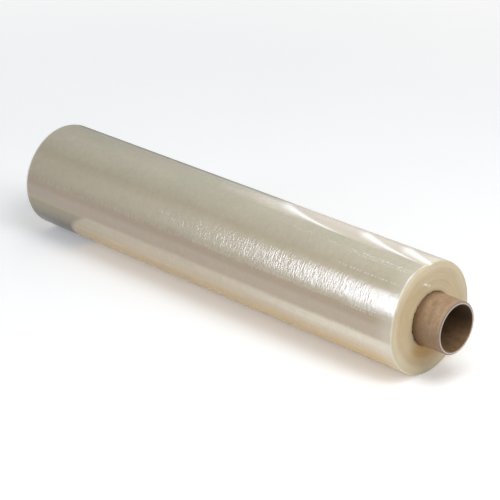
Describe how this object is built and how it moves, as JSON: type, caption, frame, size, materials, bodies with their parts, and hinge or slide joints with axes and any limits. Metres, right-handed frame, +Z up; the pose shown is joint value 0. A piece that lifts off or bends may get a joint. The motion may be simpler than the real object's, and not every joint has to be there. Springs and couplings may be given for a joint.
{
  "type": "cling film roll",
  "caption": "Wide catering roll of clear cling film, wound tight in banded turns on a brown board core that stands out at both ends, for a film dispenser.",
  "frame": {"origin": "on the surface that the roll lies on, under the middle of the roll", "axes": "+X along the core, +Z up, +Y across the roll"},
  "size_m": [0.504, 0.098, 0.0976],
  "materials": {
    "film": "gloss",
    "core_board": "matte"
  },
  "bodies": {
    "root": {"core_tube": "core_board", "film_roll": "film"}
  },
  "joints": []
}
